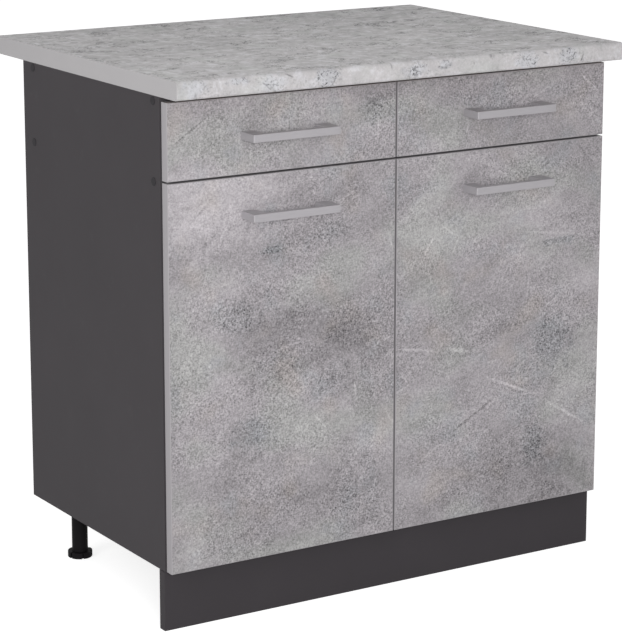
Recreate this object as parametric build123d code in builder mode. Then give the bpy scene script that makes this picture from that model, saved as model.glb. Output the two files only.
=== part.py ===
from build123d import *
import os

os.makedirs("parts", exist_ok=True)

# Kitchen base cabinet with two drawers over two doors. Millimetres.
# X runs to the right, Y to the back, Z up from the floor.
# The origin lies on the floor, in the middle of the footprint.

# Carcass
cabinet_width = 800
carcass_depth = 450
carcass_height = 720
board = 16
leg_height = 95
rail_depth = 80
mid_rail_drop = 2.5
back_thickness = 3
back_inset = 9
back_edge_play = 0.5
groove_depth = 8
groove_play = 0.2
rail_play = 2
joiner_width = 20
joiner_gauge = 1
shelf_height = 276
shelf_setback = 20
shelf_play = 1

# Worktop
worktop_thickness = 28
worktop_depth = 600
worktop_front_overhang = 52
worktop_left_overhang = 0
worktop_right_overhang = 8
worktop_nose_top = 7
worktop_nose_bottom = 4
end_strip = 0.8

# Fronts
front_board = 16
front_edge_round = 0.8
stand_off = 2
side_reveal = 2
front_joint = 3
front_top_gap = 7
drawer_front_height = 116

# Handles
handle_length = 150
handle_height = 12
handle_projection = 38
handle_bar = 10
handle_leg = 22
handle_round = 1
handle_drop = 57.5

# Plinth, legs and clips
plinth_board = 16
plinth_setback = 2
plinth_top_gap = 1
leg_side_inset = 49
leg_front_inset = 60
leg_back_inset = 68
sleeve_radius = 13
sleeve_plate = 60
sleeve_plate_thickness = 4
sleeve_rib = 3
sleeve_rib_height = 18
leg_screw_inset = 7
foot_radius = 20
foot_thickness = 10
foot_seat_gap = 0.2
foot_notches = 6
foot_notch = 3
foot_turn = 17
foot_stem_radius = 10
foot_stem_length = 60
foot_stem_play = 0.1
clip_level = 50
clip_height = 24
clip_base_width = 44
clip_base_thickness = 3
clip_neck = 10
clip_ring = 3
clip_play = 0.05
clip_mouth = 16
clip_screw_spacing = 30

# Fasteners
carcass_screw_length = 50
carcass_screw_radius = 3
carcass_screw_neck = 3.5
carcass_screw_head = 5
carcass_screw_head_height = 2
hex_recess = 2
hex_recess_depth = 2.6
cap_radius = 6.5
cap_thickness = 0.8
cap_peg_radius = 1.8
cap_peg_length = 2.2
rail_screw_inset = 20
rail_dowel_inset = 60
base_screw_inset = 60
base_dowel_inset = 130
divider_screw_inset = 30
divider_dowel_inset = 15
dowel_radius = 4
dowel_in_face = 12
dowel_in_edge = 18
worktop_screw_inset = 120
worktop_screw_length = 30
box_screw_length = 38
sunk_screw_radius = 2
sunk_screw_head = 4
small_screw_radius = 1.75
small_screw_length = 14
small_screw_head = 3.5
small_screw_head_height = 1.6
arm_screw_length = 8
handle_screw_radius = 2
handle_screw_bite = 8
handle_screw_head = 4
handle_screw_head_height = 2
recess_width = 0.8
recess_depth = 1.1

# Shelf pins and bumper pads
pin_radius = 2.5
pin_hole_depth = 9
pin_tongue = 10
pin_tongue_width = 8
pin_tongue_height = 7
pin_pitch = 32
pin_inset = 40
pad_radius = 4
pad_round = 0.5
pad_gap = 0.3
pad_inset = 30
pad_edge = 0.5

# Hinges
cup_radius = 17.5
cup_wall = 2
cup_floor = 1
cup_depth = 12
cup_rim = 1
cup_rim_thickness = 1
cup_edge_distance = 22.5
cup_ear = 6
cup_screw_spacing = 48
cup_screw_offset = 9.5
cup_pivot_offset = 12.2
cup_pivot_sink = 3.2
arm_pivot_inset = 13.5
arm_pivot_back = 6.3
hinge_pin_radius = 1.2
hinge_pin_play = 0.05
hinge_end_distance = 90
link_gauge = 2
link_eye = 2.1
link_bend = 3
link_side_play = 1.3
link_cup_knee = (4.5, -4.6)
link_arm_knee = (-0.9, -6.1)
arm_half_width = 7
arm_gauge = 1.2
arm_nose = 3.5
arm_shoulder = 18
arm_web_front = 13
arm_back = 62
arm_height = 17.2
arm_foot_gap = 6
arm_screw_setbacks = (30, 52)
plate_gauge = 2
plate_wing = 14
plate_wing_round = 5
plate_wing_end = 6
plate_front = 22
plate_back = 58
plate_screw_setback = 37
plate_screw_spacing = 32

# Drawer boxes
box_board = 12
box_lift = 10
box_top_gap = 13
box_back_gap = 40
box_joint_low = 24
box_joint_high = 14
drawer_bottom_gauge = 3
drawer_bottom_rise = 12
drawer_bottom_groove = 6
drawer_bottom_play = 0.3
bottom_screw_inset = 80
cam_radius = 6
cam_depth = 9
cam_setback = 24
cam_bolt_radius = 2.5
cam_bolt_bite = 11
cam_bolt_play = 0.3

# Drawer runners
runner_gauge = 1.2
runner_setback = 3
runner_flange = 9.5
runner_roof_gap = 1
runner_roof_setback = 40
runner_space = 12.5
runner_lip_gap = 3.2
runner_foot = 12
runner_screw_front = 41
runner_screw_back = 58
runner_screw_stagger = 32
box_rail_screw_front = 40
box_rail_screw_back = 50
box_rail_screw_inset = 3.5
roller_radius = 8.5
roller_width = 5
roller_round = 0.6
roller_play = 0.3
roller_rise = 8
roller_end_inset = 12
wall_roller_gap = 3.6
box_roller_gap = 1.6
axle_radius = 2
axle_play = 0.05
axle_head = 3.2
axle_head_thickness = 0.9
axle_side_play = 0.3

# Places worked out from the sizes above
SIDES = (-1, 1)
NAMES = {-1: "left", 1: "right"}
SEATED = (Align.CENTER, Align.CENTER, Align.MIN)

left_reach = cabinet_width / 2 + max(worktop_left_overhang, cap_thickness)
right_reach = cabinet_width / 2 + max(worktop_right_overhang, cap_thickness)
mid_x = (left_reach - right_reach) / 2
front_reach = stand_off + front_board + handle_projection
back_reach = worktop_depth - worktop_front_overhang
front_y = (front_reach - back_reach) / 2
back_y = front_y + carcass_depth
back_panel_y = back_y - back_inset - back_thickness
rail_back_y = back_panel_y - rail_play
inner_face_y = front_y - stand_off
outer_face_y = inner_face_y - front_board
box_back_y = back_panel_y - box_back_gap
runner_front_y = front_y + runner_setback
plinth_back_y = front_y + plinth_setback + plinth_board

under_z = leg_height
base_z = under_z + board
top_z = under_z + carcass_height
top_rail_under = top_z - board
drawer_front_z = top_z - front_top_gap - drawer_front_height
door_top = drawer_front_z - front_joint
mid_rail_z = door_top + front_joint / 2 - mid_rail_drop
mid_rail_top = mid_rail_z + board / 2
mid_rail_under = mid_rail_z - board / 2
shelf_z = base_z + shelf_height
hinge_levels = (under_z + hinge_end_distance, door_top - hinge_end_distance)
door_handle_level = door_top - handle_drop
drawer_handle_level = drawer_front_z + drawer_front_height / 2
box_z = mid_rail_top + box_lift
box_bottom_z = box_z + drawer_bottom_rise
box_top = top_rail_under - box_top_gap
box_joint_levels = (box_z + box_joint_low, box_top - box_joint_high)
roller_z = box_z + roller_rise
box_lip_z = roller_z + roller_radius + roller_play
sleeve_z = foot_thickness + foot_seat_gap
sleeve_top = under_z - sleeve_plate_thickness

half_inside = cabinet_width / 2 - board
front_width = (cabinet_width - 2 * side_reveal - front_joint) / 2
front_middle = side_reveal + front_width / 2
handle_holes = handle_length - handle_leg
box_side_inset = runner_space + box_board
cup_inset = side_reveal + cup_edge_distance
link_half_width = arm_half_width - arm_gauge - link_side_play
rail_levels = {"top": top_z - board / 2, "mid": mid_rail_z}
rail_edges = {"front": (front_y, 1), "back": (rail_back_y, -1)}
leg_rows = {"front": front_y + leg_front_inset, "back": back_y - leg_back_inset}


def from_side(side, inset):
    """X at a distance in from the outer face of the left (-1) or right (1) side."""
    return mid_x + side * (cabinet_width / 2 - inset)


def block(x_range, y_range, z_range, mode=Mode.ADD):
    """A board or bar between two values on each axis."""
    spans = (x_range, y_range, z_range)
    with Locations(tuple(sum(span) / 2 for span in spans)):
        Box(*(abs(span[1] - span[0]) for span in spans), mode=mode)


def facing(normal, points):
    """Planes that look along one of the axes, one on each point."""
    across = (0, 1, 0) if normal[0] else (1, 0, 0)
    return [Plane(origin=point, x_dir=across, z_dir=normal) for point in points]


def drill(seats, radius, depth):
    """Blind holes into the faces that the seats lie on."""
    with Locations(*seats):
        Hole(radius, depth)


def place(piece, seats):
    """Separate copies of a small piece, one on each seat."""
    with Locations(*seats):
        add(piece)


def save(builder, label):
    """Label a finished piece and write its file."""
    builder.part.label = label
    export_step(builder.part, f"parts/{label}.step")


# Seats of the fasteners. Each is a plane that looks out of the face that the fastener goes into.
# The same seats drill the holes and place the fasteners, so one list serves every piece that they join.

def rail_screw_seats(side):
    return facing((side, 0, 0), [
        (from_side(side, 0), edge + inward * rail_screw_inset, level)
        for level in rail_levels.values()
        for edge, inward in rail_edges.values()
    ])


def rail_dowel_seats(side):
    return facing((-side, 0, 0), [
        (from_side(side, board), edge + inward * rail_dowel_inset, level)
        for level in rail_levels.values()
        for edge, inward in rail_edges.values()
    ])


def base_screw_seats(side):
    rows = (front_y + base_screw_inset, (front_y + back_y) / 2, back_y - base_screw_inset)
    return facing((0, 0, -1), [(from_side(side, board / 2), y, under_z) for y in rows])


def base_dowel_seats(side):
    rows = (front_y + base_dowel_inset, back_y - base_dowel_inset)
    return facing((0, 0, 1), [(from_side(side, board / 2), y, base_z) for y in rows])


def divider_seats(look, level, inset):
    """Seats in line with the drawer divider, near its front and back edges."""
    return facing((0, 0, look), [
        (mid_x, edge + inward * inset, level) for edge, inward in rail_edges.values()
    ])


def divider_screw_seats():
    return (divider_seats(1, top_z, divider_screw_inset)
            + divider_seats(-1, mid_rail_under, divider_screw_inset))


def divider_dowel_seats():
    return (divider_seats(-1, top_rail_under, divider_dowel_inset)
            + divider_seats(1, mid_rail_top, divider_dowel_inset))


def worktop_screw_seats():
    return facing((0, 0, -1), [
        (mid_x + side * (half_inside - worktop_screw_inset), edge + inward * rail_depth / 2, top_rail_under)
        for side in SIDES
        for edge, inward in rail_edges.values()
    ])


def leg_screw_seats():
    reach = sleeve_plate / 2 - leg_screw_inset
    return facing((0, 0, -1), [
        (from_side(side, leg_side_inset) + across * reach, row + along * reach, sleeve_top)
        for side in SIDES
        for row in leg_rows.values()
        for across in SIDES
        for along in SIDES
    ])


def clip_screw_seats():
    seat_y = plinth_back_y + clip_base_thickness
    return facing((0, 1, 0), [
        (from_side(side, leg_side_inset) + across * clip_screw_spacing / 2, seat_y, clip_level)
        for side in SIDES
        for across in SIDES
    ])


def shelf_pin_points(side):
    return [
        (from_side(side, board), y, shelf_z - pin_tongue_height / 2)
        for y in (front_y + shelf_setback + pin_inset, rail_back_y - pin_inset)
    ]


def hinge_plate_seats(side):
    return facing((-side, 0, 0), [(from_side(side, board), front_y, level) for level in hinge_levels])


def hinge_plate_screw_seats(side):
    seat_x = from_side(side, board + plate_gauge)
    return facing((-side, 0, 0), [
        (seat_x, front_y + plate_screw_setback, level + end * plate_screw_spacing / 2)
        for level in hinge_levels
        for end in SIDES
    ])


def arm_screw_seats(side):
    return facing((-side, 0, 0), [
        (from_side(side, board + arm_height), front_y + setback, level)
        for level in hinge_levels
        for setback in arm_screw_setbacks
    ])


def cup_seats(side):
    return facing((0, 1, 0), [(from_side(side, cup_inset), inner_face_y, level) for level in hinge_levels])


def cup_screw_seats(side):
    seat_x = from_side(side, cup_inset + cup_screw_offset)
    return facing((0, 1, 0), [
        (seat_x, inner_face_y + cup_rim_thickness, level + end * cup_screw_spacing / 2)
        for level in hinge_levels
        for end in SIDES
    ])


def handle_screw_seats(side, level):
    centre = from_side(side, front_middle)
    return facing((0, 1, 0), [(centre + end * handle_holes / 2, inner_face_y, level) for end in SIDES])


def runner_walls(side):
    """The two upright faces that carry a drawer, each with the way from it into the drawer space."""
    return ((from_side(side, board), -side), (mid_x + side * board / 2, side))


def wall_seats(side, inset, look, rows, levels):
    """Seats beside both runner walls of a drawer, looking into the drawer space (1) or out of it (-1)."""
    seats = []
    for wall, into in runner_walls(side):
        points = [(wall + into * inset, y, z) for y in rows for z in levels]
        seats += facing((into * look, 0, 0), points)
    return seats


def runner_screw_seats(side):
    # The right drawer's screws stand further back, so those in the divider miss each other.
    stagger = runner_screw_stagger if side > 0 else 0
    first, last = runner_front_y + runner_screw_front, box_back_y - runner_screw_back
    rows = [y + stagger for y in (first, (first + last) / 2, last)]
    return wall_seats(side, runner_gauge, 1, rows, [roller_z])


def wall_axle_seats(side):
    return wall_seats(side, 0, 1, [runner_front_y + roller_end_inset], [roller_z])


def box_axle_seats(side):
    return wall_seats(side, runner_space - runner_gauge, -1, [box_back_y - roller_end_inset], [roller_z])


def box_screw_seats(side):
    return wall_seats(side, runner_space, -1, [box_back_y - box_board / 2], box_joint_levels)


def cam_seats(side):
    return wall_seats(side, box_side_inset, 1, [inner_face_y + cam_setback], box_joint_levels)


def cam_bolt_seats(side):
    return facing((0, 1, 0), [
        (wall + into * (runner_space + box_board / 2), inner_face_y, level)
        for wall, into in runner_walls(side)
        for level in box_joint_levels
    ])


def box_rail_screw_seats(side):
    first, last = inner_face_y + box_rail_screw_front, box_back_y - box_rail_screw_back
    return facing((0, 0, -1), [
        (wall + into * (runner_space + box_rail_screw_inset), y, box_z - runner_gauge)
        for wall, into in runner_walls(side)
        for y in (first, (first + last) / 2, last)
    ])


def bottom_screw_seats(side):
    centre = from_side(side, front_middle)
    return facing((0, 0, -1), [
        (centre + end * bottom_screw_inset, box_back_y - box_board / 2, box_bottom_z) for end in SIDES
    ])


# Fasteners, each made once with its seat at the origin and its shank pointing down

def cross_recess(height, reach):
    """A cross cut into a screw head whose top is at the given height."""
    with BuildSketch(Plane.XY.offset(height)) as cross:
        Rectangle(reach, recess_width)
        Rectangle(recess_width, reach)
    extrude(cross.sketch, amount=-recess_depth, mode=Mode.SUBTRACT)


def pan_screw(shank, length, head, head_height):
    """A screw with a round head that stands on the surface."""
    with BuildPart() as screw:
        Cylinder(head, head_height, align=SEATED)
        fillet(faces().sort_by(Axis.Z)[-1].edges(), head_height / 2)
        with Locations((0, 0, -length)):
            Cylinder(shank, length, align=SEATED)
        cross_recess(head_height, head)
    return screw.part


def sunk_screw(length):
    """A screw whose cone head is flush with the surface."""
    with BuildPart() as screw:
        with Locations((0, 0, -length)):
            Cylinder(sunk_screw_radius, length, align=SEATED)
        with Locations((0, 0, sunk_screw_radius - sunk_screw_head)):
            Cone(sunk_screw_radius, sunk_screw_head, sunk_screw_head - sunk_screw_radius, align=SEATED)
        cross_recess(0, sunk_screw_head)
    return screw.part


small_screw = pan_screw(small_screw_radius, small_screw_length, small_screw_head, small_screw_head_height)
arm_screw = pan_screw(sunk_screw_radius, arm_screw_length, small_screw_head, small_screw_head_height)
handle_screw = pan_screw(
    handle_screw_radius, front_board + handle_screw_bite, handle_screw_head, handle_screw_head_height
)
worktop_screw = sunk_screw(worktop_screw_length)
box_screw = sunk_screw(box_screw_length)

with BuildPart() as carcass_screw:
    with Locations((0, 0, -carcass_screw_length)):
        Cylinder(carcass_screw_radius, carcass_screw_length, align=SEATED)
    chamfer(faces().sort_by(Axis.Z)[0].edges(), carcass_screw_radius / 3)
    with Locations((0, 0, -board)):
        Cylinder(carcass_screw_neck, board, align=SEATED)
    with Locations((0, 0, -carcass_screw_head_height)):
        Cylinder(carcass_screw_head, carcass_screw_head_height, align=SEATED)
    with BuildSketch():
        RegularPolygon(hex_recess, 6, major_radius=False)
    extrude(amount=-hex_recess_depth, mode=Mode.SUBTRACT)

with BuildPart() as dowel:
    with Locations((0, 0, -dowel_in_face)):
        Cylinder(dowel_radius, dowel_in_face + dowel_in_edge, align=SEATED)
    chamfer(edges().filter_by(GeomType.CIRCLE), dowel_radius / 4)

with BuildPart() as screw_cap:
    Cylinder(cap_radius, cap_thickness, align=SEATED)
    fillet(faces().sort_by(Axis.Z)[-1].edges(), cap_thickness / 2)
    with Locations((0, 0, -cap_peg_length)):
        Cylinder(cap_peg_radius, cap_peg_length, align=SEATED)


# Carcass

def back_groove(x_range, z_range):
    """The slot that holds the thin back."""
    y_range = (back_panel_y, back_panel_y + back_thickness + groove_play)
    block(x_range, y_range, z_range, mode=Mode.SUBTRACT)


def counterbore(seats):
    """Holes for the necks and sunk heads of the carcass screws."""
    with Locations(*seats):
        CounterBoreHole(carcass_screw_neck, carcass_screw_head, carcass_screw_head_height, board)


for side in SIDES:
    with BuildPart() as side_panel:
        block((from_side(side, 0), from_side(side, board)), (front_y, back_y), (base_z, top_z))
        back_groove((from_side(side, board - groove_depth), from_side(side, board)), (base_z, top_z))
        counterbore(rail_screw_seats(side))
        drill(rail_dowel_seats(side), dowel_radius, dowel_in_face)
        drill(base_screw_seats(side), carcass_screw_radius, carcass_screw_length)
        drill(base_dowel_seats(side), dowel_radius, dowel_in_edge)
        drill(runner_screw_seats(side), small_screw_radius, small_screw_length)
        drill(hinge_plate_screw_seats(side), small_screw_radius, small_screw_length)
        for step in (-pin_pitch, 0, pin_pitch):
            pin_holes = [(x, y, z + step) for x, y, z in shelf_pin_points(side)]
            drill(facing((-side, 0, 0), pin_holes), pin_radius, pin_hole_depth)
    save(side_panel, f"side_panel_{NAMES[side]}")

with BuildPart() as bottom_panel:
    block([from_side(side, 0) for side in SIDES], (front_y, back_y), (under_z, base_z))
    groove_ends = [from_side(side, board - groove_depth) for side in SIDES]
    back_groove(groove_ends, (base_z - groove_depth, base_z))
    for side in SIDES:
        counterbore(base_screw_seats(side))
        drill(base_dowel_seats(side), dowel_radius, dowel_in_face)
    drill(leg_screw_seats(), small_screw_radius, small_screw_length)
save(bottom_panel, "bottom_panel")

for level_name, level in rail_levels.items():
    for edge_name, (edge, inward) in rail_edges.items():
        with BuildPart() as rail:
            block(
                [from_side(side, board) for side in SIDES],
                (edge, edge + inward * rail_depth),
                (level - board / 2, level + board / 2),
            )
            for side in SIDES:
                drill(rail_screw_seats(side), carcass_screw_radius, carcass_screw_length)
                drill(rail_dowel_seats(side), dowel_radius, dowel_in_edge)
            counterbore(divider_screw_seats())
            drill(divider_dowel_seats(), dowel_radius, dowel_in_face)
            with Locations(*worktop_screw_seats()):
                CounterSinkHole(sunk_screw_radius, sunk_screw_head, board, 90)
        save(rail, f"{level_name}_rail_{edge_name}")

with BuildPart() as drawer_divider:
    block((mid_x - board / 2, mid_x + board / 2), (front_y, rail_back_y), (mid_rail_top, top_rail_under))
    drill(divider_screw_seats(), carcass_screw_radius, carcass_screw_length)
    drill(divider_dowel_seats(), dowel_radius, dowel_in_edge)
    for side in SIDES:
        drill(runner_screw_seats(side), small_screw_radius, small_screw_length)
save(drawer_divider, "drawer_divider")

for side in SIDES:
    with BuildPart() as back_panel:
        block(
            (from_side(side, board - groove_depth + back_edge_play), mid_x + side * joiner_gauge / 2),
            (back_panel_y, back_panel_y + back_thickness),
            (base_z - groove_depth, top_z),
        )
    save(back_panel, f"back_panel_{NAMES[side]}")

with BuildPart() as back_panel_joiner:
    joiner_z = (base_z, top_z)
    joiner_y = (back_panel_y - joiner_gauge, back_panel_y + back_thickness + joiner_gauge)
    block((mid_x - joiner_width / 2, mid_x + joiner_width / 2), joiner_y, joiner_z)
    for side in SIDES:
        slot_x = (mid_x + side * joiner_gauge / 2, mid_x + side * joiner_width / 2)
        block(slot_x, (back_panel_y, back_panel_y + back_thickness), joiner_z, mode=Mode.SUBTRACT)
save(back_panel_joiner, "back_panel_joiner")

with BuildPart() as shelf:
    block(
        [from_side(side, board + shelf_play) for side in SIDES],
        (front_y + shelf_setback, rail_back_y),
        (shelf_z, shelf_z + board),
    )
    fillet(edges().filter_by(Axis.X).group_by(Axis.Y)[0], front_edge_round)
save(shelf, "shelf")

with BuildPart() as shelf_pins:
    for side in SIDES:
        for x, y, z in shelf_pin_points(side):
            block(
                (x, x - side * pin_tongue),
                (y - pin_tongue_width / 2, y + pin_tongue_width / 2),
                (z - pin_tongue_height / 2, z + pin_tongue_height / 2),
            )
        with Locations(*facing((side, 0, 0), shelf_pin_points(side))):
            Cylinder(pin_radius, pin_hole_depth, align=SEATED)
save(shelf_pins, "shelf_pins")


# Worktop, with a thin strip glued on each end

def worktop_slab(x_range):
    """A length of the worktop's section, with its rounded front edge."""
    slab_middle = front_y - worktop_front_overhang + worktop_depth / 2
    with BuildSketch(Plane.YZ.offset(x_range[0])) as section:
        with Locations((slab_middle, top_z + worktop_thickness / 2)):
            Rectangle(worktop_depth, worktop_thickness)
        fillet(vertices().group_by(Axis.X)[0].sort_by(Axis.Y)[0], worktop_nose_bottom)
        fillet(vertices().group_by(Axis.X)[0].sort_by(Axis.Y)[-1], worktop_nose_top)
    extrude(section.sketch, amount=x_range[1] - x_range[0])


worktop_ends = (from_side(-1, -worktop_left_overhang), from_side(1, -worktop_right_overhang))
worktop_core = (worktop_ends[0] + end_strip, worktop_ends[1] - end_strip)

with BuildPart() as worktop:
    worktop_slab(worktop_core)
    drill(worktop_screw_seats(), sunk_screw_radius, worktop_screw_length)
save(worktop, "worktop")

with BuildPart() as worktop_end_strips:
    worktop_slab((worktop_ends[0], worktop_core[0]))
    worktop_slab((worktop_core[1], worktop_ends[1]))
save(worktop_end_strips, "worktop_end_strips")


# Plinth and legs

with BuildPart() as plinth_panel:
    block(
        [from_side(side, 0) for side in SIDES],
        (plinth_back_y - plinth_board, plinth_back_y),
        (0, under_z - plinth_top_gap),
    )
    fillet(edges().filter_by(Axis.X).group_by(Axis.Y)[0], front_edge_round)
    drill(clip_screw_seats(), small_screw_radius, small_screw_length)
save(plinth_panel, "plinth_panel")

with BuildPart() as plinth_clips:
    ring_bore = sleeve_radius + clip_play
    clip_z = (clip_level - clip_height / 2, clip_level + clip_height / 2)
    for side in SIDES:
        x, y = from_side(side, leg_side_inset), leg_rows["front"]
        base_y = (plinth_back_y, plinth_back_y + clip_base_thickness)
        mouth_x = (x - clip_mouth / 2, x + clip_mouth / 2)
        block((x - clip_base_width / 2, x + clip_base_width / 2), base_y, clip_z)
        block((x - clip_neck / 2, x + clip_neck / 2), (plinth_back_y, y), clip_z)
        with Locations((x, y, clip_level)):
            Cylinder(ring_bore + clip_ring, clip_height)
            Cylinder(ring_bore, clip_height, mode=Mode.SUBTRACT)
        block(mouth_x, (y, y + ring_bore + clip_ring), clip_z, mode=Mode.SUBTRACT)
    drill(clip_screw_seats(), small_screw_radius, clip_base_thickness)
save(plinth_clips, "plinth_clips")

with BuildPart() as leg_sleeves:
    rib_profile = (
        (0, 0),
        (sleeve_plate / 2 - leg_screw_inset, 0),
        (sleeve_radius, -sleeve_rib_height),
        (0, -sleeve_rib_height),
    )
    for side in SIDES:
        for row in leg_rows.values():
            centre = (from_side(side, leg_side_inset), row)
            with BuildSketch(Plane.XY.offset(sleeve_top)):
                with Locations(centre):
                    RectangleRounded(sleeve_plate, sleeve_plate, leg_screw_inset)
            extrude(amount=sleeve_plate_thickness)
            for dx, dy in ((1, 0), (0, 1), (-1, 0), (0, -1)):
                with BuildSketch(Plane((*centre, sleeve_top), x_dir=(dx, dy, 0), z_dir=(dy, -dx, 0))):
                    Polygon(*rib_profile, align=None)
                extrude(amount=sleeve_rib / 2, both=True)
            with Locations((*centre, sleeve_z)):
                Cylinder(sleeve_radius, sleeve_top - sleeve_z, align=SEATED)
                Cylinder(
                    foot_stem_radius + foot_stem_play, sleeve_top - sleeve_z, align=SEATED, mode=Mode.SUBTRACT
                )
    drill(leg_screw_seats(), small_screw_radius, sleeve_plate_thickness)
save(leg_sleeves, "leg_sleeves")

for side in SIDES:
    for row_name, row in leg_rows.items():
        with BuildPart() as leg_foot:
            centre = (from_side(side, leg_side_inset), row)
            with BuildSketch():
                with Locations(centre):
                    Circle(foot_radius)
                    with PolarLocations(foot_radius, foot_notches, start_angle=foot_turn):
                        Rectangle(2 * foot_notch, foot_notch, mode=Mode.SUBTRACT)
            extrude(amount=foot_thickness)
            chamfer(faces().sort_by(Axis.Z)[0].edges(), front_edge_round)
            with Locations((*centre, 0)):
                Cylinder(foot_stem_radius, foot_thickness + foot_stem_length, align=SEATED)
        save(leg_foot, f"leg_foot_{row_name}_{NAMES[side]}")


# Hinges

def hinge_pivots(side):
    """The pin in the cup and the pin in the arm, seen from above."""
    cup_pin = (from_side(side, cup_inset - cup_pivot_offset), inner_face_y - cup_pivot_sink)
    arm_pin = (from_side(side, board + arm_pivot_inset), front_y + arm_pivot_back)
    return cup_pin, arm_pin


with BuildPart() as hinge_plates:
    rib_middle = ((plate_front + plate_back) / 2, 0)
    rib_size = (plate_back - plate_front, 2 * (arm_half_width - arm_gauge))
    wing_span = plate_screw_spacing + 2 * plate_wing_end
    for side in SIDES:
        for seat in hinge_plate_seats(side):
            with BuildSketch(seat):
                with Locations((plate_screw_setback, 0)):
                    RectangleRounded(plate_wing, wing_span, plate_wing_round)
            extrude(amount=plate_gauge)
            with BuildSketch(seat):
                with Locations(rib_middle):
                    Rectangle(*rib_size)
            extrude(amount=arm_height - arm_gauge)
        drill(hinge_plate_screw_seats(side), small_screw_radius, plate_gauge)
        drill(arm_screw_seats(side), sunk_screw_radius, arm_screw_length)
save(hinge_plates, "hinge_plates")

with BuildPart() as hinge_arms:
    for side in SIDES:
        arm_pivot = hinge_pivots(side)[1]
        arm_foot = from_side(side, board + arm_foot_gap)
        arm_top = from_side(side, board + arm_height)
        flange_middle = ((arm_foot + arm_top) / 2, front_y + (arm_shoulder + arm_back) / 2)
        for level in hinge_levels:
            for end in SIDES:
                with BuildSketch(Plane.XY.offset(level + end * arm_half_width)):
                    with Locations(arm_pivot):
                        Circle(arm_nose)
                    with Locations(flange_middle):
                        Rectangle(arm_height - arm_foot_gap, arm_back - arm_shoulder)
                    make_hull()
                extrude(amount=-end * arm_gauge)
            block(
                (from_side(side, board + arm_height - arm_gauge), arm_top),
                (front_y + arm_web_front, front_y + arm_back),
                (level - arm_half_width, level + arm_half_width),
            )
            with Locations((*arm_pivot, level)):
                Cylinder(hinge_pin_radius, 2 * arm_half_width)
        drill(arm_screw_seats(side), sunk_screw_radius, arm_gauge)
save(hinge_arms, "hinge_arms")

for side in SIDES:
    cup_pivot, arm_pivot = hinge_pivots(side)
    cup_knee = (cup_pivot[0] - side * link_cup_knee[0], cup_pivot[1] + link_cup_knee[1])
    arm_knee = (arm_pivot[0] - side * link_arm_knee[0], arm_pivot[1] + link_arm_knee[1])
    with BuildPart() as hinge_links:
        for level in hinge_levels:
            with BuildSketch(Plane.XY.offset(level)):
                with BuildLine():
                    FilletPolyline(cup_pivot, cup_knee, arm_knee, arm_pivot, radius=link_bend)
                trace(line_width=link_gauge)
                with Locations(cup_pivot, arm_pivot):
                    Circle(link_eye)
                    Circle(hinge_pin_radius + hinge_pin_play, mode=Mode.SUBTRACT)
            extrude(amount=link_half_width, both=True)
    save(hinge_links, f"hinge_links_{NAMES[side]}")

    with BuildPart() as hinge_cups:
        pin_reach = ((cup_radius - cup_wall / 2) ** 2 - cup_pivot_offset ** 2) ** 0.5
        for seat in cup_seats(side):
            with BuildSketch(seat):
                Circle(cup_radius + cup_rim)
                with Locations((-side * cup_screw_offset, 0)):
                    SlotCenterToCenter(cup_screw_spacing, 2 * cup_ear, rotation=90)
            extrude(amount=cup_rim_thickness)
            with BuildSketch(seat):
                Circle(cup_radius)
            extrude(amount=-cup_depth)
            with BuildSketch(seat.offset(cup_floor - cup_depth)):
                Circle(cup_radius - cup_wall)
            extrude(amount=cup_depth - cup_floor + cup_rim_thickness, mode=Mode.SUBTRACT)
            with Locations((*cup_pivot, seat.origin.Z)):
                Cylinder(hinge_pin_radius, 2 * pin_reach)
        drill(cup_screw_seats(side), small_screw_radius, cup_rim_thickness)
    save(hinge_cups, f"hinge_cups_{NAMES[side]}")


# Doors, drawer fronts and handles

def front_panel(side, z_range):
    """The board of a door or drawer with softened outer edges."""
    x_range = (from_side(side, side_reveal), from_side(side, side_reveal + front_width))
    block(x_range, (outer_face_y, inner_face_y), z_range)
    fillet(faces().sort_by(Axis.Y)[0].edges(), front_edge_round)


def save_handle(side, level, label):
    """A flat bow handle, its legs flush with the ends of its bar."""
    centre = from_side(side, front_middle)
    grip_y = outer_face_y - handle_projection
    gap = handle_length / 2 - handle_leg
    with BuildPart() as bow:
        z_range = (level - handle_height / 2, level + handle_height / 2)
        block((centre - handle_length / 2, centre + handle_length / 2), (grip_y, outer_face_y), z_range)
        block((centre - gap, centre + gap), (grip_y + handle_bar, outer_face_y), z_range, mode=Mode.SUBTRACT)
        fillet(edges() - edges().group_by(Axis.Y)[-1], handle_round)
        drill(handle_screw_seats(side, level), handle_screw_radius, front_board + handle_screw_bite)
    save(bow, label)


for side in SIDES:
    with BuildPart() as door:
        front_panel(side, (under_z, door_top))
        drill(cup_seats(side), cup_radius, cup_depth)
        drill(cup_screw_seats(side), small_screw_radius, small_screw_length)
        drill(handle_screw_seats(side, door_handle_level), handle_screw_radius, front_board)
    save(door, f"door_{NAMES[side]}")
    save_handle(side, door_handle_level, f"door_handle_{NAMES[side]}")

    with BuildPart() as door_screws:
        place(small_screw, cup_screw_seats(side))
        place(handle_screw, handle_screw_seats(side, door_handle_level))
    save(door_screws, f"door_screws_{NAMES[side]}")

    with BuildPart() as drawer_front:
        front_panel(side, (drawer_front_z, drawer_front_z + drawer_front_height))
        groove_inset = box_side_inset - drawer_bottom_groove
        block(
            [wall + into * groove_inset for wall, into in runner_walls(side)],
            (inner_face_y - drawer_bottom_groove, inner_face_y),
            (box_bottom_z, box_bottom_z + drawer_bottom_gauge),
            mode=Mode.SUBTRACT,
        )
        drill(cam_bolt_seats(side), cam_bolt_radius, cam_bolt_bite)
        drill(handle_screw_seats(side, drawer_handle_level), handle_screw_radius, front_board)
    save(drawer_front, f"drawer_front_{NAMES[side]}")
    save_handle(side, drawer_handle_level, f"drawer_handle_{NAMES[side]}")


# Drawer boxes

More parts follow.
